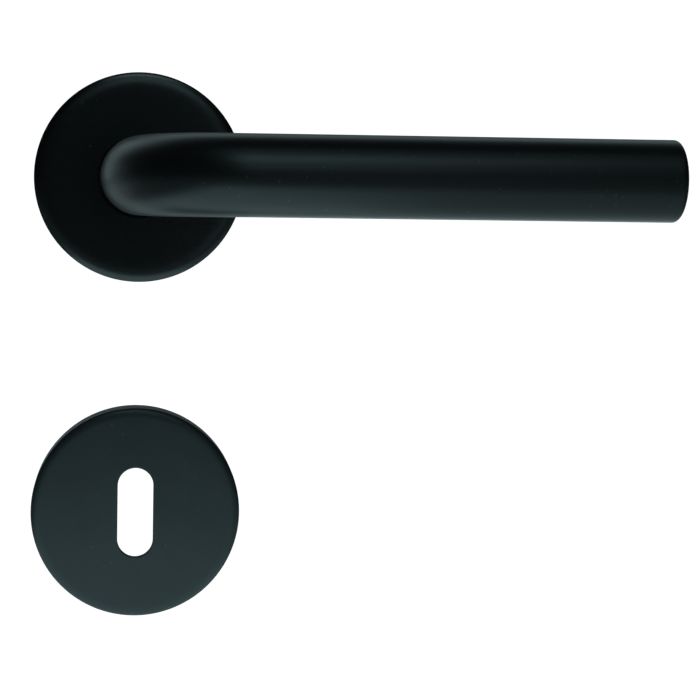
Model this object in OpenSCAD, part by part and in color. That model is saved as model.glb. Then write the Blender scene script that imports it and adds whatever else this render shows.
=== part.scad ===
// Lever handle on a round rose with a matching key escutcheon: the furniture for one face of a door.
// The origin is on the spindle axis in the door's face, +X along the lever, +Y into the door, +Z up.
// Each module is drawn lying flat: its x and y span the door's face and its z stands out of the door.

/* [Rose and escutcheon] */
// Outside diameter of both click-on covers
cover_d = 53; // [50:0.5:55]
// Height of both covers above the door
cover_h = 8; // [8:0.5:10]
// Thickness of the cover metal
cover_wall = 1.2; // [1:0.1:1.5]
// Radius of the covers' front edge
cover_edge_r = 0.7; // [0.4:0.1:1.2]
// Distance from the spindle axis down to the key
pitch = 85; // [72:1:92]
// Width of the key slot
slot_w = 9; // [8:0.5:10]
// Height of the key slot
slot_h = 22.6; // [20:0.2:24]

/* [Lever] */
// Outside diameter of the lever tube
tube_d = 19; // [19:0.1:19.4]
// Wall thickness of the lever tube
tube_wall = 1.5; // [1.3:0.1:1.6]
// Length from the spindle axis to the lever's end
lever_len = 122.5; // [110:0.5:140]
// Height of the grip's axis above the door
reach = 56; // [52:1:62]
// Bend radius of the tube's axis
bend_r = 26; // [22:0.5:26]
// Radius of the edge round the lever's flat end
end_edge_r = 1.2; // [0.5:0.1:1.6]

/* [Spindle and bolts] */
// Width across the flats of the square spindle
spindle_w = 8; // [7:0.5:8]
// Length of the spindle
spindle_len = 85; // [70:1:110]
// Distance between the two bolts of each plate
bolt_pitch = 38; // [38:0.1:38.4]
// Thread diameter of the bolts
bolt_d = 4; // [4:0.1:4.2]
// Length of the bolts under the head
bolt_len = 45; // [40:1:70]

/* [Motion] */
// Angle between the lever's two stops
lever_travel = 40; // [30:1:45]

/* [Hidden] */
$fn = 96;
eps = 0.01;
inf = 200;

// Running and sliding gaps
run_gap = 0.05;
neck_gap = 0.6;
rib_gap = 0.3;

// Covers and base plates
cover_r = cover_d / 2;
cover_in_r = cover_r - cover_wall;
cover_in_h = cover_h - cover_wall;
base_r = cover_in_r - 0.5;
base_h = cover_in_h - 0.4;
base_edge = 0.6;
slot_margin = 2.2;

// Split wire ring that holds each cover
ring_wire_r = 0.6;
ring_r = cover_in_r - ring_wire_r - 0.2;
ring_z = 3.1;
ring_gap_deg = 30;
ring_mid_deg = 135;
groove_r = ring_r - ring_wire_r - 0.1;
groove_half = ring_wire_r + 0.1;
rib_w = 2;

// Bolts and the spigots round them
bolt_r = bolt_d / 2;
shank_r = bolt_r - 0.25;
bolt_hole_r = bolt_r + 0.15;
head_r = 3.7;
head_h = 2.1;
head_z = 4.2;
seat_r = head_r + 0.4;
spigot_r = 3.75;
spigot_len = 6;
spigot_edge = 0.5;

// Lever tube and the insert in its neck
tube_r = tube_d / 2;
bore_r = tube_r - tube_wall;
neck_z = base_h + 0.3;
bend_z = reach - bend_r;
insert_top = 26;
journal_r = 7.5;
flat_x = 6.4;
square_w = spindle_w + 0.1;
spindle_top = 24;
grub_z = 14;
grub_r = 2.5;

// End cap
cap_t = 2;
cap_plug = 7;

// Spring pocket, from its closing plate up to the front web
plate_t = 0.8;
plate_z = 0.3;
plate_r = 18.2;
plate_half_y = 14.8;
plate_screw_x = 16.3;
pocket_z0 = plate_z + plate_t;
pocket_z1 = base_h - 1;
pocket_r = 13.6;
collar_z = 4.4;
collar_r = 11;
stop_r0 = 9.5;
stop_r1 = 10.9;
stop_gap_deg = 0.5;

// Bush
bush_r = 8.7;
flange_r = 10.6;
flange_t = 0.8;

// Driver
hub_r = 9.2;
hub_z0 = pocket_z0 + 0.1;
hub_z1 = collar_z - 0.2;
lug_r = 10.75;
lug_half_deg = 20;

// Return spring
wire_r = 0.8;
coil_r = 12;
coil_turns = 1.6;
coil_z0 = pocket_z0 + wire_r + 0.1;
coil_z1 = pocket_z1 - wire_r - 0.1;
coil_step_deg = 12;
leg_in_r = 8.9;
leg_out_r = 15.4;
leg_out_deg = 360 * coil_turns;

// Washers and circlip behind the closing plate
washer_t = 0.5;
washer_z = plate_z - run_gap - washer_t;
washer_in_r = journal_r + 0.1;
washer_out_r = 10.4;
wave_t = 0.3;
wave_h = 0.3;
wave_count = 3;
wave_z = washer_z - wave_h - wave_t;
clip_t = 1;
clip_z = wave_z - clip_t - 0.02;
clip_groove_r = journal_r - 0.35;
clip_out_r = 9.3;
clip_shift = 0.5;
clip_ear_r = 1.7;
clip_ear_deg = 28;
clip_ear_at = 9.4;
journal_z = clip_z - 1.1;

// ---------- helpers ----------

// Stands a part that is drawn flat up on the door's face.
module on_door() rotate([90, 0, 0]) children();

// The same, at the key escutcheon.
module at_key() on_door() translate([0, -pitch, 0]) children();

// A cylinder of radius r from height z0 to height z1.
module rod(r, z0, z1) translate([0, 0, z0]) cylinder(r = r, h = z1 - z0);

// A ring from radius r0 to r1 and height z0 to z1, cut to the angles a0 to a1.
module sector(r0, r1, z0, z1, a0, a1) {
    translate([0, 0, z0]) rotate([0, 0, a0]) rotate_extrude(angle = a1 - a0)
        translate([r0, 0]) square([r1 - r0, z1 - z0]);
}

// An upright slot with round ends.
module obround(w, h) {
    square([w, h - w], center = true);
    for (s = [-1, 1]) translate([0, s * (h - w) / 2]) circle(d = w);
}

// Half the section of a disc of radius r and height h whose top edge is rounded by e.
module disc_section(r, h, e) {
    square([r, h - e]);
    square([r - e, h]);
    translate([r - e, h - e]) intersection() {
        circle(r = e);
        square(e);
    }
}

// The bent tube's solid path: up the neck from z0, round the bend and along the grip to x1.
module lever_path(r, z0, x1) {
    rod(r, z0, bend_z);
    translate([bend_r, 0, bend_z]) rotate([90, 0, 180]) rotate_extrude(angle = 90)
        translate([bend_r, 0]) circle(r = r);
    translate([bend_r, 0, reach]) rotate([0, 90, 0]) cylinder(r = r, h = x1 - bend_r);
}

// A round wire along a list of points.
module wire(points, r) {
    for (i = [0 : len(points) - 2]) hull() {
        translate(points[i]) sphere(r = r, $fn = 12);
        translate(points[i + 1]) sphere(r = r, $fn = 12);
    }
}

// ---------- lever body ----------

module lever_tube() color([0.05, 0.06, 0.065]) on_door() difference() {
    lever_path(tube_r, neck_z, lever_len - cap_t);
    lever_path(bore_r, neck_z - 1, lever_len);
    translate([0, -bore_r + 1, grub_z]) rotate([90, 0, 0]) cylinder(r = grub_r + 0.2, h = tube_wall + 2);
}

module end_cap() color([0.05, 0.06, 0.065]) on_door()
    translate([lever_len - cap_t, 0, reach]) rotate([0, 90, 0]) difference() {
        union() {
            rotate_extrude() disc_section(tube_r, cap_t, end_edge_r);
            rod(bore_r, -cap_plug, eps);
        }
        rod(bore_r - 1.5, -cap_plug - 1, 0);
    }

module neck_insert() color([0.62, 0.63, 0.65]) on_door() difference() {
    union() {
        rod(bore_r, neck_z, insert_top);
        rod(journal_r, journal_z, neck_z + eps);
    }
    // square hole for the spindle, blind at the top
    translate([-square_w / 2, -square_w / 2, journal_z - 1])
        cube([square_w, square_w, spindle_top + 0.2 - journal_z + 1]);
    // two flats that drive the spring driver
    for (s = [0, 180]) rotate([0, 0, s]) translate([flat_x, -journal_r - 1, journal_z - 1])
        cube([journal_r, 2 * journal_r + 2, hub_z1 + run_gap - journal_z + 1]);
    // circlip groove
    difference() {
        rod(journal_r + 1, clip_z - 0.03, clip_z + clip_t + 0.03);
        rod(clip_groove_r, clip_z - 1, clip_z + clip_t + 1);
    }
    // tapped hole for the grub screw
    translate([0, 0, grub_z]) rotate([90, 0, 0]) cylinder(r = grub_r, h = bore_r + 1);
}

module grub_screw() color([0.18, 0.18, 0.19]) on_door()
    translate([0, -spindle_w / 2, grub_z]) rotate([90, 0, 0]) difference() {
        union() {
            cylinder(r1 = grub_r - 0.7, r2 = grub_r, h = 0.7);
            rod(grub_r, 0.7, tube_r - spindle_w / 2 - 0.3);
        }
        translate([0, 0, 2.8]) cylinder(r = 1.45, h = 10, $fn = 6);
    }

module spindle() color([0.66, 0.67, 0.68]) on_door()
    translate([0, 0, spindle_top - spindle_len]) linear_extrude(spindle_len) polygon([
        for (q = [0 : 3], s = [-1, 1])
            let (a = q * 90, h = spindle_w / 2, c = s * (h - 0.4))
                [h * cos(a) - c * sin(a), h * sin(a) + c * cos(a)]
    ]);

module driver() color([0.6, 0.6, 0.58]) on_door() difference() {
    union() {
        rod(hub_r, hub_z0, hub_z1);
        for (a = [0, 180]) sector(hub_r - 1, lug_r, hub_z0, hub_z1, a - lug_half_deg, a + lug_half_deg);
    }
    // double-D hole on the journal's flats
    intersection() {
        rod(journal_r, 0, inf);
        translate([-flat_x, -inf / 2, 0]) cube([2 * flat_x, inf, inf]);
    }
    // slot for the spring's inner leg, open to the back
    translate([leg_in_r - wire_r - 0.2, -wire_r - 0.1, 0])
        cube([10, 2 * wire_r + 0.2, coil_z0 + wire_r + 0.1]);
}

module thrust_washer() color([0.7, 0.7, 0.7]) on_door() difference() {
    rod(washer_out_r, washer_z, washer_z + washer_t);
    rod(washer_in_r, washer_z - 1, washer_z + 1);
}

// Height of the wave washer's lower face at angle a
function wave_at(a) = wave_z + wave_h * (1 + cos(wave_count * a)) / 2;

module wave_washer() color([0.55, 0.55, 0.56]) {
    steps = 72;
    corners = [[washer_in_r, 0], [washer_out_r - 0.4, 0], [washer_out_r - 0.4, wave_t], [washer_in_r, wave_t]];
    on_door() polyhedron(
        points = [
            for (i = [0 : steps - 1], c = corners)
                let (a = i * 360 / steps) [c[0] * cos(a), c[0] * sin(a), wave_at(a) + c[1]]
        ],
        faces = [
            for (i = [0 : steps - 1], k = [0 : 3])
                let (j = (i + 1) % steps, m = (k + 1) % 4) [4 * i + k, 4 * i + m, 4 * j + m, 4 * j + k]
        ],
        convexity = 4
    );
}

module circlip() color([0.3, 0.3, 0.31]) on_door() difference() {
    union() {
        translate([0, clip_shift, 0]) rod(clip_out_r, clip_z, clip_z + clip_t);
        for (s = [-1, 1]) rotate([0, 0, -90 + s * clip_ear_deg]) translate([clip_ear_at, 0, 0])
            rod(clip_ear_r, clip_z, clip_z + clip_t);
    }
    rod(clip_groove_r, clip_z - 1, clip_z + clip_t + 1);
    // opening between the two ears
    translate([0, 0, clip_z - 1]) linear_extrude(clip_t + 2) polygon([
        [0, 0],
        inf / 4 * [cos(-90 - clip_ear_deg + 8), sin(-90 - clip_ear_deg + 8)],
        inf / 4 * [cos(-90 + clip_ear_deg - 8), sin(-90 + clip_ear_deg - 8)]
    ]);
    // plier holes
    for (s = [-1, 1]) rotate([0, 0, -90 + s * clip_ear_deg]) translate([clip_ear_at + 0.2, 0, 0])
        rod(0.85, clip_z - 1, clip_z + clip_t + 1);
}

// ---------- plates, rings and bolts that both assemblies share ----------

// Base plate: a chamfered disc with a ring groove, a rib notch, two bolt holes and two spigots at angle turn.
module base_plate(turn) {
    difference() {
        union() {
            rotate_extrude() polygon([
                [0, 0], [base_r, 0], [base_r, ring_z - groove_half], [groove_r, ring_z - groove_half],
                [groove_r, ring_z + groove_half], [base_r, ring_z + groove_half],
                [base_r, base_h - base_edge], [base_r - base_edge, base_h], [0, base_h]
            ]);
            at_bolts(turn) {
                rod(spigot_r, -spigot_len + spigot_edge, eps);
                translate([0, 0, -spigot_len])
                    cylinder(r1 = spigot_r - spigot_edge, r2 = spigot_r, h = spigot_edge);
            }
        }
        at_bolts(turn) {
            rod(bolt_hole_r, -spigot_len - 1, base_h + 1);
            rod(seat_r, head_z, base_h + 1);
        }
        // notch for the cover's locating rib
        rotate([0, 0, ring_mid_deg]) translate([groove_r - 0.4, -rib_w / 2 - rib_gap, -1])
            cube([5, rib_w + 2 * rib_gap, base_h + 2]);
    }
}

module at_bolts(turn) {
    for (s = [-1, 1]) rotate([0, 0, turn]) translate([s * bolt_pitch / 2, 0, 0]) children();
}

// Weight-saving pockets in a plate's back, three on each side of the bolt line.
module back_pockets(r0, r1, turn) {
    for (side = [90, 270], k = [-1, 0, 1])
        sector(r0, r1, -1, base_h - 1.6, turn + side + 38 * k - 16, turn + side + 38 * k + 16);
}

// Click-on cover: a shallow cup, its rim resting on the door.
module cover_cup() difference() {
    rotate_extrude() disc_section(cover_r, cover_h, cover_edge_r);
    rod(cover_in_r, -1, cover_in_h);
}

module snap_ring() translate([0, 0, ring_z])
    rotate([0, 0, ring_mid_deg + ring_gap_deg / 2]) rotate_extrude(angle = 360 - ring_gap_deg)
        translate([ring_r, 0]) circle(r = ring_wire_r, $fn = 32);

// Pan-head bolt with a cross recess, thread tip at the back.
module bolt() difference() {
    union() {
        translate([0, 0, head_z]) rotate_extrude() disc_section(head_r, head_h, 0.6);
        rod(shank_r, -spigot_len, head_z + eps);
        rod(bolt_r, head_z - bolt_len + 0.5, -spigot_len);
        translate([0, 0, head_z - bolt_len]) cylinder(r1 = bolt_r - 0.5, r2 = bolt_r, h = 0.5);
    }
    for (a = [45, 135]) rotate([0, 0, a]) translate([-2.1, -0.4, head_z + 0.7]) cube([4.2, 0.8, 3]);
}

// ---------- rose assembly ----------

module rose_base() color([0.42, 0.43, 0.44]) on_door() difference() {
    base_plate(90);
    // spring pocket round the bush collar and the stops
    difference() {
        rod(pocket_r, -1, pocket_z1);
        rod(collar_r, collar_z, base_h);
        for (a = [0, 180]) sector(stop_r0, stop_r1, pocket_z0 + 0.1, collar_z + 0.5,
            a + lug_half_deg + stop_gap_deg, a + 180 - lug_half_deg - lever_travel - stop_gap_deg);
    }
    // seat of the closing plate, and the tapped holes of its screws
    translate([0, 0, -1]) plate_outline(0.05, pocket_z0 + 1);
    for (s = [-1, 1]) translate([s * plate_screw_x, 0, 0]) rod(1, 0, 3.4);
    back_pockets(plate_r + 1.2, groove_r - 1.2, 90);
    // hole for the bush and its flange
    rod(bush_r, 0, base_h + 1);
    rod(flange_r, base_h - flange_t, base_h + 1);
    // slot that holds the spring's outer leg
    rotate([0, 0, leg_out_deg]) translate([coil_r, -wire_r - 0.05, -1])
        cube([leg_out_r + wire_r + 0.1 - coil_r, 2 * wire_r + 0.1, coil_z1 + wire_r + 0.1 + 1]);
}

// Outline of the closing plate, grown by g and h high.
module plate_outline(g, h) linear_extrude(h) intersection() {
    circle(r = plate_r + g);
    square([4 * plate_r, 2 * (plate_half_y + g)], center = true);
}

module bearing_bush() color([0.09, 0.09, 0.1]) on_door() difference() {
    union() {
        rod(bush_r, collar_z, base_h);
        rod(flange_r, base_h - flange_t, base_h);
    }
    rod(journal_r + run_gap, 0, base_h + 1);
}

module return_spring() color([0.5, 0.5, 0.52]) on_door() {
    steps = ceil(leg_out_deg / coil_step_deg);
    coil = [
        for (i = [0 : steps])
            let (t = i / steps, a = leg_out_deg * t)
                [coil_r * cos(a), coil_r * sin(a), coil_z0 + (coil_z1 - coil_z0) * t]
    ];
    wire(concat(
        [[leg_in_r, 0, coil_z0]],
        coil,
        [[leg_out_r * cos(leg_out_deg), leg_out_r * sin(leg_out_deg), coil_z1]]
    ), wire_r);
}

module cassette_plate() color([0.68, 0.69, 0.7]) on_door() difference() {
    translate([0, 0, plate_z]) plate_outline(0, plate_t);
    rod(journal_r + 0.3, -1, 3);
    for (s = [-1, 1]) translate([s * plate_screw_x, 0, 0]) rod(1.05, -1, 3);
}

// Small cheese-head screw that holds the closing plate, its head at the back.
module cassette_screw(side) color([0.7, 0.7, 0.68]) on_door()
    translate([side * plate_screw_x, 0, 0]) difference() {
        union() {
            rod(1.6, plate_z - 0.9, plate_z);
            rod(1, plate_z - eps, 3.2);
        }
        translate([-2, -0.25, plate_z - 2]) cube([4, 0.5, 1.6]);
    }

module cassette_screw_left() cassette_screw(-1);
module cassette_screw_right() cassette_screw(1);

module rose_bolt_top() color([0.72, 0.72, 0.7]) on_door() translate([0, bolt_pitch / 2, 0]) bolt();
module rose_bolt_bottom() color([0.72, 0.72, 0.7]) on_door() translate([0, -bolt_pitch / 2, 0]) bolt();

module rose_ring() color([0.55, 0.55, 0.57]) on_door() snap_ring();

module rose_cover() color([0.03, 0.035, 0.04]) on_door() difference() {
    cover_cup();
    rod(tube_r + neck_gap, 0, cover_h + 1);
}

// ---------- key escutcheon ----------

module key_base() color([0.42, 0.43, 0.44]) at_key() difference() {
    base_plate(0);
    translate([0, 0, -1]) linear_extrude(base_h + 2)
        obround(slot_w + 2 * slot_margin, slot_h + 2 * slot_margin);
    back_pockets(17.2, groove_r - 1.2, 0);
}

module key_bolt_left() color([0.72, 0.72, 0.7]) at_key() translate([-bolt_pitch / 2, 0, 0]) bolt();
module key_bolt_right() color([0.72, 0.72, 0.7]) at_key() translate([bolt_pitch / 2, 0, 0]) bolt();

module key_ring() color([0.55, 0.55, 0.57]) at_key() snap_ring();

module key_cover() color([0.14, 0.17, 0.175]) at_key() {
    difference() {
        cover_cup();
        linear_extrude(cover_h + 1) obround(slot_w, slot_h);
    }
    // rib that keeps the slot upright, in the gap of the wire ring
    rotate([0, 0, ring_mid_deg]) translate([groove_r + 0.2, -rib_w / 2, 0.5])
        cube([cover_in_r - groove_r, rib_w, cover_in_h - 0.5 + eps]);
}

lever_tube();
end_cap();
neck_insert();
grub_screw();
spindle();
driver();
thrust_washer();
wave_washer();
circlip();
rose_base();
bearing_bush();
return_spring();
cassette_plate();
cassette_screw_left();
cassette_screw_right();
rose_bolt_top();
rose_bolt_bottom();
rose_ring();
rose_cover();
key_base();
key_bolt_left();
key_bolt_right();
key_ring();
key_cover();
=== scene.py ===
"""Lever handle on a round rose with its key escutcheon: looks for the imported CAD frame.

Lengths are in metres, in the CAD's own frame: the origin is on the spindle axis in the door's face,
+X runs along the lever, +Y into the door and +Z up. What faces the room is at negative Y.
"""

import math

import bmesh
import bpy
import numpy as np
from mathutils import Euler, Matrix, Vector


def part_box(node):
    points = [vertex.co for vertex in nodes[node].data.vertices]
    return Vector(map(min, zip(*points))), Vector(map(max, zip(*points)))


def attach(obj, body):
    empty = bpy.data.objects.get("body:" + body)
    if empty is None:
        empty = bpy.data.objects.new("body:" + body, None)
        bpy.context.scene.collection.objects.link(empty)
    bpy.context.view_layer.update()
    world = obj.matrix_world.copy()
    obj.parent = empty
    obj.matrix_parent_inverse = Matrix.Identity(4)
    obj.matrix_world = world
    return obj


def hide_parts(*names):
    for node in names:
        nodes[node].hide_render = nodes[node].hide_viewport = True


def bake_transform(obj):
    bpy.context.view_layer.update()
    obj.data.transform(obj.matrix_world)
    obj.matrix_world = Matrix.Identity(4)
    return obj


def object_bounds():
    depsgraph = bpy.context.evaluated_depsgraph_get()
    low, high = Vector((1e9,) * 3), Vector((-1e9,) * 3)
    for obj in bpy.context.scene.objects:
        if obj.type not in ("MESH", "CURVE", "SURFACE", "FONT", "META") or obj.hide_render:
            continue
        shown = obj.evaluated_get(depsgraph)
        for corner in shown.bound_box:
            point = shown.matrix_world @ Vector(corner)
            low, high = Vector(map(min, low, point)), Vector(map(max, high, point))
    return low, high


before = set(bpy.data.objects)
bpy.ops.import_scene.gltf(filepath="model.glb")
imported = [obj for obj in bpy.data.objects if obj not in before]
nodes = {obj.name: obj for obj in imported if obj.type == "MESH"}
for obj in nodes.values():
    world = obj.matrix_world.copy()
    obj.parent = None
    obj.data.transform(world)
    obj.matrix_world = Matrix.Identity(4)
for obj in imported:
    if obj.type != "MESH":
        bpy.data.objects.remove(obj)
cad_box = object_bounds()

MM = 0.001
ROUND = 192  # points round each visible circle


# ---------- sizes read from the frame ----------

cover_low, cover_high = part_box("rose_cover")
key_low, key_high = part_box("key_cover")
tube_low, tube_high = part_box("lever_tube")
cap_low, cap_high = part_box("end_cap")
insert_low, insert_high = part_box("neck_insert")
bolt_low, bolt_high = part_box("rose_bolt_top")

COVER_R = (cover_high.x - cover_low.x) / 2
COVER_H = -cover_low.y  # the covers' faces stand this far off the door
KEY_Z = (key_low.z + key_high.z) / 2
TUBE_R = (tube_high.z - tube_low.z) / 2
REACH = -tube_low.y - TUBE_R  # the grip's axis stands this far off the door
LEVER_END = cap_high.x
TUBE_END = tube_high.x
NECK_OUT = -tube_high.y  # the neck starts this far off the door
BORE_R = (insert_high.x - insert_low.x) / 2
HEAD_R = (bolt_high.x - bolt_low.x) / 2
HEAD_TOP = -bolt_low.y
BOLT_TIP = -bolt_high.y

# Sizes that the frame's boxes don't show: the lever
BEND_R = 26 * MM
STRAIGHT = REACH - BEND_R  # the neck is straight this far off the door
BEND_LENGTH = BEND_R * math.pi / 2
BEND_OVAL = 0.012  # the tube's radius grows and shrinks by this share in the middle of its bend
RIM_EDGE = 0.12 * MM
CAP_EDGE = 1.2 * MM
CAP_SEAM = 0.06 * MM
PLUG_WALL = 1.5 * MM
PLUG_EDGE = 0.3 * MM
GRUB_OUT = 14 * MM
GRUB_HOLE_R = 2.7 * MM
GRUB_EDGE = 0.5 * MM

# The covers
COVER_WALL = 1.2 * MM
ROSE_ROLL = 5 * MM  # the face starts to roll over this far from the rim
KEY_ROLL = 2.8 * MM
ROLL_DEPTH = 1 * MM
LIP_EDGE = 0.25 * MM
NECK_GAP = 0.6 * MM
SLOT_W = 9 * MM
SLOT_H = 22.6 * MM
RIB_IN_R = 23.2 * MM
RIB_W = 2 * MM
RIB_LOW = 0.5 * MM

# The bolts
HEAD_H = 2.1 * MM
HEAD_EDGE = 0.55 * MM
HEAD_DOME = 0.12 * MM
SHANK_R = 1.75 * MM
BOLT_R = 2.0 * MM
TIP_CHAMFER = 0.5 * MM
THREAD_START = -6 * MM
THREAD_PITCH = 0.7 * MM
THREAD_DEPTH = 0.42 * MM

# The return spring and the wire rings
WIRE_R = 0.8 * MM
COIL_R = 12.0 * MM
COIL_TURNS = 1.6
COIL_LOW = 2.0 * MM
COIL_HIGH = 4.5 * MM
LEG_IN_R = 8.9 * MM
LEG_OUT_R = 15.4 * MM
LEG_BEND = 1.3 * MM
RING_MIDDLE = 135  # degrees: the middle of the gap in each wire ring
RING_GAP = 30


# ---------- mesh helpers ----------


def out_of_door(x, z, out):
    """A point given by its place on the door's face and its height above it."""
    return (x, -out, z)


def polar(r, a, out, x=0.0, z=0.0):
    """A point at radius r and angle a round a line that stands out of the door at x, z."""
    return out_of_door(x + r * math.cos(a), z + r * math.sin(a), out)


def arc(centre, radius, start, end, steps):
    """Points on an arc in a section, from angle start to end in degrees."""
    angles = np.radians(np.linspace(start, end, steps + 1))
    return [(centre[0] + radius * math.cos(a), centre[1] + radius * math.sin(a)) for a in angles]


def rounded(corners, steps):
    """A closed section from (u, v, radius) corners, each corner rounded by its radius."""
    points = []
    count = len(corners)
    for i, (u, v, radius) in enumerate(corners):
        here = Vector((u, v))
        before = Vector(corners[i - 1][:2]) - here
        after = Vector(corners[(i + 1) % count][:2]) - here
        if radius <= 0:
            points.append((u, v))
            continue
        turn = before.angle(after)
        reach = radius / math.tan(turn / 2)
        inward = (before.normalized() + after.normalized()).normalized()
        centre = here + inward * (radius / math.sin(turn / 2))
        first = here + before.normalized() * reach - centre
        last = here + after.normalized() * reach - centre
        sweep = first.angle_signed(last)
        for k in range(steps + 1):
            a = -sweep * k / steps
            points.append((
                centre.x + first.x * math.cos(a) - first.y * math.sin(a),
                centre.y + first.x * math.sin(a) + first.y * math.cos(a),
            ))
    return points


def ring_faces(rings, around, closed_rings=True):
    """Quads between neighbouring rings of points; the last ring joins the first if closed_rings."""
    last = rings if closed_rings else rings - 1
    faces = []
    for i in range(last):
        j = (i + 1) % rings
        for k in range(around):
            m = (k + 1) % around
            faces.append((i * around + k, i * around + m, j * around + m, j * around + k))
    return faces


def fan_faces(first, around, centre):
    """Triangles that close a ring of points, which starts at index first, on a centre point."""
    return [(first + k, first + (k + 1) % around, centre) for k in range(around)]


def full_turn(count):
    """Angles of count points spread evenly round a circle."""
    return np.linspace(0, 2 * np.pi, count, endpoint=False)


def add_piece(name, points, faces, material, body, slot, replaces=(), smooth=30.0):
    """A mesh piece that takes a material and rides on a body, unless body is None."""
    mesh = bpy.data.meshes.new(name)
    mesh.from_pydata([tuple(p) for p in points], [], faces)
    mesh.validate()
    piece = bpy.data.objects.new(name, mesh)
    bpy.context.scene.collection.objects.link(piece)
    mesh.materials.append(material)
    outward_normals(mesh)
    mesh.shade_smooth()
    mesh.set_sharp_from_angle(angle=math.radians(smooth))
    if body:
        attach(piece, body)
    if replaces:
        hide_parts(*replaces)
    return piece


def outward_normals(mesh):
    """Turns every face outwards, so that the mesh encloses a positive volume."""
    work = bmesh.new()
    work.from_mesh(mesh)
    bmesh.ops.recalc_face_normals(work, faces=work.faces)
    work.to_mesh(mesh)
    work.free()


def cut_or_join(piece, points, faces, operation, smooth=30.0):
    """Takes a closed shape away from a piece or joins it on, and keeps the result as its mesh."""
    mesh = bpy.data.meshes.new("tool")
    mesh.from_pydata([tuple(p) for p in points], [], faces)
    outward_normals(mesh)
    tool = bpy.data.objects.new("tool", mesh)
    bpy.context.scene.collection.objects.link(tool)
    step = piece.modifiers.new("step", "BOOLEAN")
    step.operation = operation
    step.solver = "EXACT"
    step.object = tool
    graph = bpy.context.evaluated_depsgraph_get()
    shape = bpy.data.meshes.new_from_object(piece.evaluated_get(graph))
    piece.modifiers.remove(step)
    piece.data = shape
    bpy.data.objects.remove(tool)
    shape.shade_smooth()
    shape.set_sharp_from_angle(angle=math.radians(smooth))
    shape.name = piece.name


def turned_points(section, angles, x=0.0, z=0.0):
    """A section of (radius, height) turned about a line that stands out of the door at x, z."""
    return [polar(r, a, out, x, z) for r, out in section for a in angles]


# ---------- materials ----------


class Nodes:
    """Short calls for building one node material."""

    def __init__(self, name):
        self.material = bpy.data.materials.new(name)
        self.material.use_nodes = True
        self.tree = self.material.node_tree
        self.shader = self.tree.nodes["Principled BSDF"]
        self.position = self.add("ShaderNodeTexCoord").outputs["Object"]

    def add(self, kind, **values):
        """A new node; each value goes to its setting of that name, or else to its socket."""
        node = self.tree.nodes.new(kind)
        for key, value in values.items():
            if hasattr(node, key):
                setattr(node, key, value)
            else:
                node.inputs[key].default_value = value
        return node

    def link(self, source, target):
        self.tree.links.new(source, target)

    def noise(self, scale, detail=2.0, roughness=0.5, stretch=(1, 1, 1)):
        """Noise from 0 to 1 in the object's own space, with scale in cells per metre."""
        mapping = self.add("ShaderNodeMapping", Scale=stretch)
        self.link(self.position, mapping.inputs["Vector"])
        noise = self.add("ShaderNodeTexNoise", Scale=scale, Detail=detail, Roughness=roughness)
        self.link(mapping.outputs["Vector"], noise.inputs["Vector"])
        return noise.outputs["Fac"]

    def remap(self, value, low, high, to_low, to_high):
        """Takes the range from low to high to the range from to_low to to_high, and stops there."""
        node = self.add("ShaderNodeMapRange")
        node.inputs["From Min"].default_value = low
        node.inputs["From Max"].default_value = high
        node.inputs["To Min"].default_value = to_low
        node.inputs["To Max"].default_value = to_high
        self.link(value, node.inputs["Value"])
        return node.outputs["Result"]

    def mix(self, factor, first, second):
        """A colour between two, by a factor; each is a colour or a socket."""
        node = self.add("ShaderNodeMix", data_type="RGBA")
        self.link(factor, node.inputs[0])
        for socket, value in ((node.inputs[6], first), (node.inputs[7], second)):
            if isinstance(value, (tuple, list)):
                socket.default_value = (*value, 1.0)
            else:
                self.link(value, socket)
        return node.outputs[2]

    def worn_edges(self, most, reach=0.3 * MM):
        """Wear from 0 on flats up to most along tight edges, broken up into patches.

        Near an edge the rounded normal leans away from the face's own, and their product falls.
        """
        rounding = self.add("ShaderNodeBevel", samples=4, Radius=reach)
        facing = self.add("ShaderNodeVectorMath", operation="DOT_PRODUCT")
        self.link(rounding.outputs["Normal"], facing.inputs[0])
        self.link(self.add("ShaderNodeNewGeometry").outputs["Normal"], facing.inputs[1])
        edge = self.remap(facing.outputs["Value"], 0.98, 0.85, 0.0, most)
        patches = self.remap(self.noise(700, 3.0), 0.38, 0.62, 0.2, 1.0)
        return self.product(edge, patches)

    def product(self, first, second):
        """Two values multiplied."""
        node = self.add("ShaderNodeMath", operation="MULTIPLY")
        self.link(first, node.inputs[0])
        self.link(second, node.inputs[1])
        return node.outputs[0]

    def bump(self, height, strength, distance, after=None):
        """A normal that follows a height, on top of another bump if there is one."""
        node = self.add("ShaderNodeBump", Strength=strength, Distance=distance)
        self.link(height, node.inputs["Height"])
        if after is not None:
            self.link(after, node.inputs["Normal"])
        return node.outputs["Normal"]

    def set(self, **values):
        """Fills the shader's sockets by name, with _ for a space, and hands back the material."""
        for key, value in values.items():
            socket = self.shader.inputs[key.replace("_", " ")]
            if isinstance(value, bpy.types.NodeSocket):
                self.link(value, socket)
            else:
                socket.default_value = value
        return self.material


COAT_TINT = (0.85, 0.97, 1.0)  # tint that the black coat gives to everything it reflects
SPECK_SCALE = 420  # cells per metre, each with one possible speck


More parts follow.
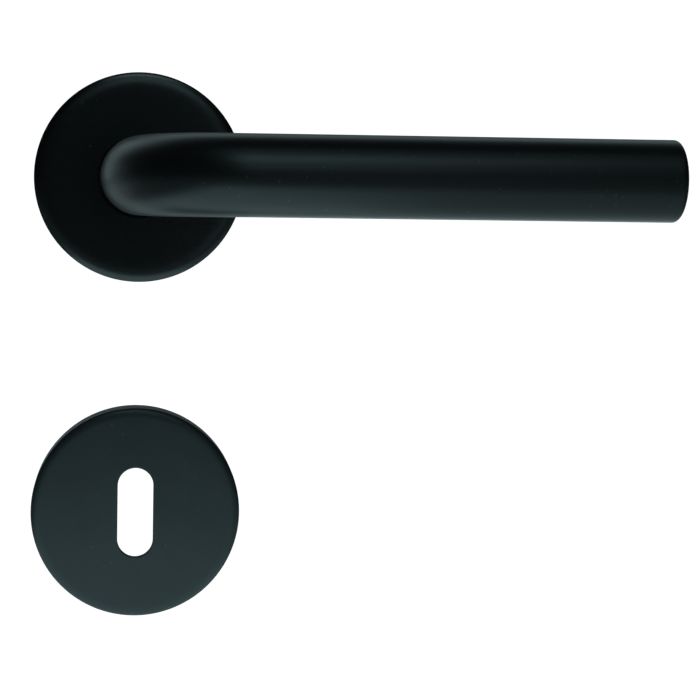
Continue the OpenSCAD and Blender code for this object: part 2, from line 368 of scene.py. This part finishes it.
def powder_coat(name, shade, rough, specular, tint):
    """Matt black powder coat: fine grain, faint cloudiness, a few paler specks and worn edges."""
    n = Nodes(name)
    cloud = n.noise(90, 3.0)
    grain = n.noise(4200, 2.0, 0.6)
    fine = n.noise(11000, 1.0)
    specks = n.add("ShaderNodeTexVoronoi", Scale=SPECK_SCALE)
    n.link(n.position, specks.inputs["Vector"])
    speck = n.remap(specks.outputs["Distance"], 0.05, 0.13, 1.0, 0.0)
    rare = n.remap(n.noise(130, 0.0), 0.53, 0.58, 0.0, 1.0)
    base = tuple(shade * c for c in tint)
    cloudy = tuple(shade * 1.35 * c for c in tint)
    dusty = tuple((shade * 1.5 + 0.045) * c for c in tint)
    rubbed = tuple(shade * 1.5 * c + 0.03 for c in tint)
    colour = n.mix(n.remap(cloud, 0.35, 0.65, 0.0, 1.0), base, cloudy)
    colour = n.mix(n.product(speck, rare), colour, dusty)
    colour = n.mix(n.worn_edges(0.5), colour, rubbed)
    coarse = n.bump(grain, 0.35, 0.00004)
    normal = n.bump(fine, 0.25, 0.000015, coarse)
    return n.set(
        Base_Color=colour,
        Roughness=n.remap(grain, 0.3, 0.7, rough - 0.03, rough + 0.04),
        IOR=1.5,
        Specular_IOR_Level=specular,
        Specular_Tint=(*COAT_TINT, 1.0),
        Normal=normal,
    )


def metal(
    name, colour, rough, cloud_scale=150, grain_scale=5000, grain=0.15, stretch=(1, 1, 1), tint=None
):
    """Bare or plated metal with uneven gloss and a fine grain, drawn out along an axis by stretch."""
    n = Nodes(name)
    cloud = n.noise(cloud_scale, 3.0)
    texture = n.noise(grain_scale, 3.0, 0.6, stretch)
    darker = tuple(0.8 * c for c in colour)
    tone = n.mix(n.remap(cloud, 0.3, 0.7, 0.0, 1.0), darker, colour)
    if tint:
        tone = n.mix(n.remap(n.noise(cloud_scale * 0.6, 2.0), 0.45, 0.7, 0.0, 0.6), tone, tint)
    brighter = tuple(min(1.0, 1.25 * c) for c in colour)
    tone = n.mix(n.worn_edges(0.8), tone, brighter)
    return n.set(
        Base_Color=tone,
        Metallic=1.0,
        Roughness=n.remap(texture, 0.3, 0.7, rough - 0.06, rough + 0.08),
        Normal=n.bump(texture, grain, 0.00004),
    )


def nylon(name):
    """Black moulded nylon with a faint cloudiness and an even, dull surface."""
    n = Nodes(name)
    cloud = n.noise(120, 2.0)
    grain = n.noise(3000, 2.0)
    tone = n.mix(n.remap(cloud, 0.3, 0.7, 0.0, 1.0), (0.012, 0.012, 0.013), (0.018, 0.018, 0.02))
    return n.set(
        Base_Color=tone,
        Roughness=n.remap(grain, 0.3, 0.7, 0.42, 0.55),
        Normal=n.bump(grain, 0.1, 0.00003),
    )


lever_coat = powder_coat("lever_coat", 0.003, 0.34, 0.5, (0.5, 0.85, 1.0))
# The rose cover's copy of the black coat is drawn much darker than the key cover's: painted shade for
# the shadow that the lever and the lamps leave on the rose.
rose_coat_painted_shade = powder_coat("rose_coat_painted_shade", 0.0006, 0.22, 0.66, (0.4, 0.8, 1.0))
# The key cover's copy of the same coat is drawn paler: painted light for the lamp light that its face
# catches.
key_coat_painted_light = powder_coat("key_coat_painted_light", 0.014, 0.32, 0.55, (0.6, 0.92, 1.0))
zinc = metal("zinc_steel", (0.78, 0.79, 0.81), 0.3, tint=(0.62, 0.6, 0.52))
drawn = metal(
    "drawn_steel", (0.72, 0.73, 0.75), 0.32,
    grain_scale=2500, stretch=(1, 0.04, 1), tint=(0.6, 0.58, 0.5),
)
turned = metal("turned_steel", (0.68, 0.68, 0.69), 0.28, grain_scale=6000, stretch=(0.1, 1, 0.1))
spring_steel = metal("spring_steel", (0.32, 0.32, 0.33), 0.34, grain_scale=4000)
blackened = metal("black_steel", (0.05, 0.05, 0.055), 0.4)
casting = metal("die_cast", (0.6, 0.61, 0.62), 0.5, cloud_scale=220, grain_scale=2200, grain=0.35)
bush_nylon = nylon("nylon")

NODE_MATERIALS = {
    "neck_insert": turned,
    "grub_screw": blackened,
    "spindle": drawn,
    "driver": casting,
    "thrust_washer": zinc,
    "wave_washer": spring_steel,
    "circlip": spring_steel,
    "rose_base": casting,
    "bearing_bush": bush_nylon,
    "return_spring": spring_steel,
    "cassette_plate": zinc,
    "cassette_screw_left": zinc,
    "cassette_screw_right": zinc,
    "rose_bolt_top": zinc,
    "rose_bolt_bottom": zinc,
    "rose_ring": spring_steel,
    "key_base": casting,
    "key_bolt_left": zinc,
    "key_bolt_right": zinc,
    "key_ring": spring_steel,
    "lever_tube": lever_coat,
    "end_cap": lever_coat,
    "rose_cover": rose_coat_painted_shade,
    "key_cover": key_coat_painted_light,
}
for node_name, material in NODE_MATERIALS.items():
    mesh = nodes[node_name].data
    mesh.materials.clear()
    mesh.materials.append(material)


# ---------- the lever ----------


def lever_ring(radius, s):
    """One ring of the bent tube at distance s along its axis from the door's face."""
    turn = min(max((s - STRAIGHT) / BEND_LENGTH, 0.0), 1.0)
    oval = BEND_OVAL * math.sin(math.pi * turn) ** 2
    if s <= STRAIGHT:
        centre, inward = Vector((0, -s, 0)), Vector((1, 0, 0))
    elif s <= STRAIGHT + BEND_LENGTH:
        a = (s - STRAIGHT) / BEND_R
        inward = Vector((math.cos(a), math.sin(a), 0))
        centre = Vector((BEND_R, -STRAIGHT, 0)) - BEND_R * inward
    else:
        centre, inward = Vector((BEND_R + s - STRAIGHT - BEND_LENGTH, -REACH, 0)), Vector((0, 1, 0))
    up = Vector((0, 0, 1))
    return [
        centre + radius * ((1 - oval) * math.cos(t) * inward + (1 + oval) * math.sin(t) * up)
        for t in full_turn(ROUND)
    ]


def lever_stations(first, last):
    """Distances along the tube's axis, closer together round the bend."""
    bend_end = STRAIGHT + BEND_LENGTH
    parts = (
        np.linspace(first, STRAIGHT, 10, endpoint=False),
        np.linspace(STRAIGHT, bend_end, 56, endpoint=False),
        np.linspace(bend_end, last, 30),
    )
    return np.concatenate(parts)


def make_lever():
    """The bent tube, slightly oval where it was bent, with its bore and the set screw's hole."""
    last = STRAIGHT + BEND_LENGTH + TUBE_END - BEND_R
    outer = [(TUBE_R, s) for s in lever_stations(NECK_OUT + RIM_EDGE, last)]
    inner = [(BORE_R, s) for s in lever_stations(NECK_OUT, last)[::-1]]
    rings = [(TUBE_R - RIM_EDGE, NECK_OUT)] + outer + inner
    points = [point for radius, s in rings for point in lever_ring(radius, s)]
    faces = ring_faces(len(rings), ROUND)
    tube = add_piece(
        "lever_tube_detail", points, faces, lever_coat, "lever", "lever_coat", ["lever_tube"]
    )
    cut_or_join(tube, *grub_hole(), "DIFFERENCE")


def grub_hole(around=64):
    """Clearance hole for the set screw under the neck, with a small countersink."""
    inside = 1 * MM  # it reaches this far into the bore
    levels = (
        (GRUB_HOLE_R, inside - BORE_R),
        (GRUB_HOLE_R, GRUB_EDGE / 2 - TUBE_R),
        (GRUB_HOLE_R + GRUB_EDGE, -GRUB_EDGE / 2 - TUBE_R),
    )
    points = [
        out_of_door(r * math.cos(a), z, GRUB_OUT + r * math.sin(a))
        for r, z in levels
        for a in full_turn(around)
    ]
    sides = ring_faces(len(levels), around, closed_rings=False)
    ends = [tuple(range(around)), tuple(range(2 * around, 3 * around))]
    return points, sides + ends


def make_cap():
    """End cap: flat face with a rounded edge, a hairline joint to the tube and a hollow plug."""
    depth = LEVER_END - TUBE_END
    plug = cap_high.x - cap_low.x - depth
    section = arc((TUBE_R - CAP_EDGE, depth - CAP_EDGE), CAP_EDGE, 90, 0, 10) + [
        (TUBE_R, CAP_SEAM),
        (TUBE_R - CAP_SEAM, 0),
        (BORE_R, 0),
        (BORE_R, -plug + PLUG_EDGE),
        (BORE_R - PLUG_EDGE, -plug),
        (BORE_R - PLUG_WALL, -plug),
        (BORE_R - PLUG_WALL, 0.0),
    ]
    points = [
        (TUBE_END + along, -REACH + r * math.cos(a), r * math.sin(a))
        for r, along in section
        for a in full_turn(ROUND)
    ]
    faces = ring_faces(len(section), ROUND, closed_rings=False)
    faces += fan_faces(0, ROUND, len(points))
    faces += fan_faces((len(section) - 1) * ROUND, ROUND, len(points) + 1)
    points += [(TUBE_END + depth, -REACH, 0.0), (TUBE_END, -REACH, 0.0)]
    add_piece("end_cap_detail", points, faces, lever_coat, "lever", "lever_coat", ["end_cap"])


# ---------- covers ----------


def cover_section(hole_r, roll):
    """Closed section of a cover: its face rolls over softly into the side wall."""
    inside_h = COVER_H - COVER_WALL
    inside_r = COVER_R - COVER_WALL
    edge = []
    for a in np.radians(np.linspace(0, 90, 31)):
        along = math.sin(a) ** (2 / 3)  # flatter than an ellipse where the roll starts
        edge.append((COVER_R - roll * (1 - along), COVER_H - ROLL_DEPTH * (1 - math.cos(a))))
    lip_steps = 6
    corners = rounded([  # radius, height and rounding of each corner
        (hole_r, COVER_H, LIP_EDGE),
        (COVER_R, COVER_H, 0.0),
        (COVER_R, 0.0, 0.12 * MM),
        (inside_r, 0.0, 0.2 * MM),
        (inside_r, inside_h, 0.4 * MM),
        (hole_r, inside_h, 0.12 * MM),
    ], lip_steps)
    lip, rest = corners[:lip_steps + 1], corners[lip_steps + 2:]
    flat = [(hole_r + 2 * LIP_EDGE, COVER_H), (edge[0][0] - LIP_EDGE, COVER_H)]
    return lip + flat + edge + rest


def make_rose_cover():
    section = cover_section(TUBE_R + NECK_GAP, ROSE_ROLL)
    points = turned_points(section, full_turn(ROUND))
    faces = ring_faces(len(section), ROUND)
    add_piece(
        "rose_cover_detail", points, faces, rose_coat_painted_shade, "rose_cover", "cover_coat", ["rose_cover"]
    )


def slot_radius(angle, grow):
    """Distance from the slot's centre to its outline, grown by grow, in a direction."""
    half, lift = SLOT_W / 2 + grow, (SLOT_H - SLOT_W) / 2
    c, s = abs(math.cos(angle)), abs(math.sin(angle))
    if c > 1e-9 and half * s / c <= lift:
        return half / c
    return lift * s + math.sqrt(half * half - (lift * c) ** 2)


def make_key_cover():
    """Cover whose inner loops follow the slot's outline and whose outer loops are round."""
    lip = 1.2 * MM  # the section's radii below this one are measured from the slot's outline
    section = cover_section(0.0, KEY_ROLL)
    angles = full_turn(2 * ROUND)
    points = []
    for r, out in section:
        for a in angles:
            radius = slot_radius(a, r) if r < lip else r
            points.append(polar(radius, a, out, z=KEY_Z))
    faces = ring_faces(len(section), len(angles))
    cover = add_piece(
        "key_cover_detail", points, faces, key_coat_painted_light, "key_cover", "cover_coat", ["key_cover"]
    )
    cut_or_join(cover, *key_rib(), "UNION")


def key_rib():
    """Rib that keeps the slot upright, in the gap of the wire ring."""
    bite = 0.4 * MM  # it reaches this far into the cover's wall and face
    out_r = COVER_R - COVER_WALL + bite
    a = math.radians(RING_MIDDLE)
    points = []
    for out in (RIB_LOW, COVER_H - COVER_WALL + bite):
        for r, side in ((RIB_IN_R, -1), (out_r, -1), (out_r, 1), (RIB_IN_R, 1)):
            x = r * math.cos(a) - side * RIB_W / 2 * math.sin(a)
            z = r * math.sin(a) + side * RIB_W / 2 * math.cos(a)
            points.append(out_of_door(x, KEY_Z + z, out))
    faces = [(0, 1, 2, 3), (4, 5, 6, 7), (0, 1, 5, 4), (1, 2, 6, 5), (2, 3, 7, 6), (3, 0, 4, 7)]
    return points, faces


# ---------- bolts ----------


def cross_recess_depth(x, y):
    """Depth of a cross recess below the head's top at a place on it."""
    arm, half, depth = 2.1 * MM, 0.42 * MM, 1.4 * MM
    rise = 0.25  # the floor rises by this share of the depth along each arm
    side_slope, end_slope = 0.12 * MM, 0.2 * MM
    along, across = max(abs(x), abs(y)), min(abs(x), abs(y))
    if across > half or along > arm:
        return 0.0
    wall = min((half - across) / side_slope, (arm - along) / end_slope, 1.0)
    return wall * depth * (1 - rise * along / arm)


def bolt_head(centre):
    """A pan head whose top is a fine polar net with the recess pressed into it."""
    around, rings = 144, 44
    bottom = HEAD_TOP - HEAD_H
    net_r = 0.86 * HEAD_R
    cross_turn = math.pi / 4  # the cross stands turned by this much
    edge_low = 0.66 * MM  # the rounded edge's centre lies this far below the top
    chamfer = 0.1 * MM
    angles = full_turn(around) + math.pi / 2
    points = [out_of_door(*centre, HEAD_TOP - cross_recess_depth(0, 0))]
    faces = fan_faces(1, around, 0)
    for ring in range(1, rings + 1):
        r = net_r * ring / rings
        dome = HEAD_DOME * (r / HEAD_R) ** 2
        for a in angles:
            depth = cross_recess_depth(r * math.cos(a - cross_turn), r * math.sin(a - cross_turn))
            points.append(polar(r, a, HEAD_TOP - dome - depth, *centre))
    edge = arc((HEAD_R - HEAD_EDGE, HEAD_TOP - edge_low), HEAD_EDGE, 70, 0, 6)
    side = [(HEAD_R, bottom + chamfer), (HEAD_R - chamfer, bottom), (SHANK_R, bottom)]
    points += turned_points(edge + side, angles, *centre)
    count = rings + len(edge) + len(side)
    for face in ring_faces(count, around, closed_rings=False):
        faces.append(tuple(1 + index for index in face))
    faces += fan_faces(1 + (count - 1) * around, around, len(points))
    points.append(out_of_door(*centre, bottom))
    return points, faces


def bolt_shank(centre):
    """Reduced neck and a rolled helical thread with a chamfered tip."""
    around, steps_per_turn = 48, 12
    top = HEAD_TOP - HEAD_H
    overlap = 0.2 * MM  # it reaches this far into the head
    length = top - BOLT_TIP
    rows = int(length / THREAD_PITCH * steps_per_turn)
    points = []
    for i in range(rows + 1):
        out = top + overlap - (length + overlap) * i / rows
        run_in = min(max((THREAD_START - out) / THREAD_PITCH, 0.0), 1.0)
        tip = BOLT_R - TIP_CHAMFER + (out - BOLT_TIP)
        for k, a in enumerate(full_turn(around)):
            wave = abs(((out / THREAD_PITCH - k / around) % 1.0) * 2 - 1)
            groove = THREAD_DEPTH * min(max(1.25 * wave - 0.1, 0.0), 1.0)
            radius = SHANK_R + (BOLT_R - groove - SHANK_R) * run_in
            points.append(polar(min(radius, tip), a, out, *centre))
    faces = ring_faces(rows + 1, around, closed_rings=False)
    faces += fan_faces(0, around, len(points)) + fan_faces(rows * around, around, len(points) + 1)
    points += [out_of_door(*centre, top + overlap), out_of_door(*centre, BOLT_TIP)]
    return points, faces


def make_bolt(node_name):
    low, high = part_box(node_name)
    centre = ((low.x + high.x) / 2, (low.z + high.z) / 2)
    bolt = add_piece(f"{node_name}_detail", *bolt_head(centre), zinc, "base", "zinc_steel", [node_name])
    cut_or_join(bolt, *bolt_shank(centre), "UNION")


# ---------- wire parts ----------


# Share of the wire's radius at its ends, and how far from the end that is
WIRE_END = ((0.55, 0.0), (0.85, 0.1), (1.0, 0.35))


def wire_along(path, radius, around=24):
    """A round wire along a list of points, with slightly rounded ends."""
    path = [Vector(p) for p in path]
    tangents = []
    for i in range(len(path)):
        tangents.append((path[min(i + 1, len(path) - 1)] - path[max(i - 1, 0)]).normalized())
    side = tangents[0].orthogonal().normalized()
    rings = []
    for i, (centre, tangent) in enumerate(zip(path, tangents)):
        side = (side - side.dot(tangent) * tangent).normalized()
        other = tangent.cross(side)
        if i == 0:
            shells = [(factor, shift * radius) for factor, shift in WIRE_END]
        elif i == len(path) - 1:
            shells = [(factor, -shift * radius) for factor, shift in reversed(WIRE_END)]
        else:
            shells = [(1.0, 0.0)]
        for factor, shift in shells:
            middle = centre + tangent * shift
            rings.append([
                middle + radius * factor * (math.cos(a) * side + math.sin(a) * other)
                for a in full_turn(around)
            ])
    points = [p for ring in rings for p in ring]
    faces = ring_faces(len(rings), around, closed_rings=False)
    faces += fan_faces(0, around, len(points))
    faces += fan_faces((len(rings) - 1) * around, around, len(points) + 1)
    return points + [path[0], path[-1]], faces


def fillet_path(path, radius, steps=10):
    """Replaces each sharp corner of a path of points by an arc-like bend."""
    points = [Vector(path[0])]
    for before, here, after in zip(path, path[1:], path[2:]):
        before, here, after = Vector(before), Vector(here), Vector(after)
        reach = min(radius, 0.45 * (before - here).length, 0.45 * (after - here).length)
        first = here + (before - here).normalized() * reach
        last = here + (after - here).normalized() * reach
        for t in np.linspace(0, 1, steps + 1):
            points.append((1 - t) ** 2 * first + 2 * t * (1 - t) * here + t * t * last)
    points.append(Vector(path[-1]))
    return points


def make_spring():
    """Torsion spring: a leg on the driver, the coil, and a leg in the base plate."""
    turn_end = 2 * math.pi * COIL_TURNS
    coil = []
    steps = 200
    for i in range(steps + 1):
        t = i / steps
        a = turn_end * t
        coil.append(polar(COIL_R, a, COIL_LOW + (COIL_HIGH - COIL_LOW) * t))
    inner = polar(LEG_IN_R, 0, COIL_LOW)
    outer = polar(LEG_OUT_R, turn_end, COIL_HIGH)
    skip = 7  # each leg's bend takes up this many steps of the coil
    head = fillet_path([inner, coil[0], coil[skip]], LEG_BEND)
    tail = fillet_path([coil[-1 - skip], coil[-1], outer], LEG_BEND)
    points, faces = wire_along(head + coil[skip + 1:-1 - skip] + tail, WIRE_R)
    spring = add_piece(
        "return_spring_detail", points, faces, spring_steel, None, "spring_steel", ["return_spring"],
        smooth=60.0,
    )
    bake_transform(spring)


def make_ring(node_name):
    """Split wire ring that the cover clicks over."""
    low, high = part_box(node_name)
    x0, z0 = (low.x + high.x) / 2, KEY_Z if node_name == "key_ring" else 0.0
    out = -(low.y + high.y) / 2
    radius = (high.y - low.y) / 2
    ring_r = (high.x - low.x) / 2 - radius
    start, end = RING_MIDDLE + RING_GAP / 2, RING_MIDDLE - RING_GAP / 2 + 360
    path = turned_points([(ring_r, out)], np.radians(np.linspace(start, end, 181)), x0, z0)
    points, faces = wire_along(path, radius)
    add_piece(f"{node_name}_detail", points, faces, spring_steel, "base", "spring_steel", [node_name])


make_lever()
make_cap()
make_rose_cover()
make_key_cover()
for bolt_name in ("rose_bolt_top", "rose_bolt_bottom", "key_bolt_left", "key_bolt_right"):
    make_bolt(bolt_name)
make_spring()
make_ring("rose_ring")
make_ring("key_ring")


# ---------- studio ----------

FLOOR_DROP = 0.03  # the floor lies this far under the object
WALL_BACK = 1.2  # the backdrop stands this far behind the door's face
PAPER_GLOW = 0.02  # light that the paper sends onto the object
WORLD_GLOW = 0.03  # light that the room sends onto the object

LIGHT_TINT = (0.72, 0.97, 1.0)
LIT_POINT = Vector((0.04, -0.04, -0.03))  # the lamps are turned towards this point

CAMERA_PLACE = (-0.0058, -0.4459, -0.0072)
CAMERA_TURN = (88.28, -0.77, -3.8)  # degrees
CAMERA_LENS = 89.1
CAMERA_SHIFT = (0.17, -0.13)


def glow_for_camera(tree, seen, sent):
    """A strength that is one value for the eye and another for everything that gets lit."""
    path = tree.nodes.new("ShaderNodeLightPath")
    strength = tree.nodes.new("ShaderNodeMapRange")
    strength.inputs["To Min"].default_value = sent
    strength.inputs["To Max"].default_value = seen
    tree.links.new(path.outputs["Is Camera Ray"], strength.inputs["Value"])
    return strength.outputs["Result"]


def paper_material():
    """Pale paper that is lit from behind, so that it looks white without blinding the object."""
    n = Nodes("paper")
    fibre = n.remap(n.noise(300, 3.0), 0.3, 0.7, 0.78, 0.84)
    tone = n.add("ShaderNodeCombineColor")
    for channel in ("Red", "Green", "Blue"):
        n.link(fibre, tone.inputs[channel])
    return n.set(
        Base_Color=tone.outputs["Color"],
        Roughness=n.remap(n.noise(40, 2.0), 0.3, 0.7, 0.85, 0.95),
        Emission_Color=(1.0, 1.0, 1.0, 1.0),
        Emission_Strength=glow_for_camera(n.tree, 1.0, PAPER_GLOW),
    )


def make_sweep():
    """A pale floor that curves up into a backdrop."""
    floor_z = cad_box[0].z - FLOOR_DROP
    front, bend, height, half = -0.9, 0.1, 2.2, 1.5
    profile = [(front, floor_z), (WALL_BACK - bend, floor_z)]
    for a in np.radians(np.linspace(0, 90, 17)):
        profile.append((WALL_BACK - bend + bend * math.sin(a), floor_z + bend - bend * math.cos(a)))
    profile.append((WALL_BACK, floor_z + height))
    points = [(x, y, z) for y, z in profile for x in (-half, half)]
    faces = [(2 * i, 2 * i + 1, 2 * i + 3, 2 * i + 2) for i in range(len(profile) - 1)]
    mesh = bpy.data.meshes.new("sweep")
    mesh.from_pydata(points, [], faces)
    mesh.materials.append(paper_material())
    mesh.shade_smooth()
    sweep = bpy.data.objects.new("sweep", mesh)
    bpy.context.scene.collection.objects.link(sweep)


def panel(name, place, target, size, glow):
    """A soft rectangular light at a place, turned towards a target; glow is its power per area."""
    light = bpy.data.lights.new(name, "AREA")
    light.shape = "RECTANGLE"
    light.size, light.size_y = size
    light.energy = glow * size[0] * size[1]
    light.color = LIGHT_TINT
    lamp = bpy.data.objects.new(name, light)
    bpy.context.scene.collection.objects.link(lamp)
    lamp.location = place
    lamp.rotation_euler = (Vector(target) - Vector(place)).to_track_quat("-Z", "Y").to_euler()
    lamp.visible_camera = False


def round_object(turn, lift, distance=1.3):
    """A place round the object: turn degrees to the right of the front and lift degrees up."""
    a, e = math.radians(turn), math.radians(lift)
    away = Vector((math.sin(a) * math.cos(e), -math.cos(a) * math.cos(e), math.sin(e)))
    return LIT_POINT + distance * away


def floor_panel(name, left, right, front, back, glow):
    """A light panel that lies on the floor and shines up."""
    x, y, z = (left + right) / 2, (front + back) / 2, cad_box[0].z - FLOOR_DROP + 0.01
    panel(name, (x, y, z), (x, y - 0.0001, z + 1.0), (right - left, back - front), glow)


def wall_panel(name, left, right, low, high, glow):
    """A light panel that stands before the backdrop and shines towards the room."""
    x, y, z = (left + right) / 2, WALL_BACK - 0.02, (low + high) / 2
    panel(name, (x, y, z), (x, y - 1.0, z), (right - left, high - low), glow)


def make_lights():
    """Lamps before the object, panels at the backdrop for its edges, and pools on the floor."""
    panel("key", round_object(0, 45), LIT_POINT, (0.5, 0.42), 4.5)
    panel("key_side", round_object(25, 45), LIT_POINT, (0.5, 0.35), 0.5)
    panel("upper", round_object(3, 23), LIT_POINT, (0.5, 0.34), 2.2)
    panel("ceiling", round_object(0, 65), LIT_POINT, (0.9, 0.35), 1.0)
    panel("beside_lens", round_object(11, 0), LIT_POINT, (0.1, 0.34), 2.6)
    panel("left", (-1.0, 0.75, 0.1), LIT_POINT, (0.5, 0.5), 0.7)
    wall_panel("wall_top", -1.2, 1.2, 0.8, 1.6, 1.7)
    wall_panel("wall_left", -1.2, -0.4, -0.12, 0.8, 1.6)
    wall_panel("wall_right", 0.4, 1.2, 0.0, 0.8, 0.3)
    floor_panel("pool", -0.11, 0.07, -0.26, 0.0, 2.9)
    floor_panel("pool_right", 0.05, 0.22, -0.26, 0.0, 1.0)
    floor_panel("pool_back", -0.12, 0.25, 0.0, 0.2, 1.3)
    floor_panel("behind", 0.05, 0.35, 0.2, 0.5, 3.6)
    floor_panel("behind_left", -0.6, -0.12, 0.1, 0.7, 1.1)


def make_world():
    """White to the eye, and a dim grey room for everything that it lights."""
    world = bpy.data.worlds.new("studio")
    bpy.context.scene.world = world
    world.use_nodes = True
    tree = world.node_tree
    glow = glow_for_camera(tree, 1.0, WORLD_GLOW)
    tree.links.new(glow, tree.nodes["Background"].inputs["Strength"])
    tree.nodes["Background"].inputs["Color"].default_value = (1.0, 1.0, 1.0, 1.0)


def make_camera():
    """Just left of the spindle axis, level with the lever, looking slightly right and down."""
    data = bpy.data.cameras.new("camera")
    data.sensor_width = 36.0
    data.lens = CAMERA_LENS
    data.shift_x, data.shift_y = CAMERA_SHIFT
    data.clip_start, data.clip_end = 0.01, 20.0
    camera = bpy.data.objects.new("camera", data)
    bpy.context.scene.collection.objects.link(camera)
    camera.location = CAMERA_PLACE
    camera.rotation_euler = Euler([math.radians(a) for a in CAMERA_TURN])
    bpy.context.scene.camera = camera


make_sweep()
make_world()
make_lights()
make_camera()
bpy.context.scene.view_settings.view_transform = "Standard"
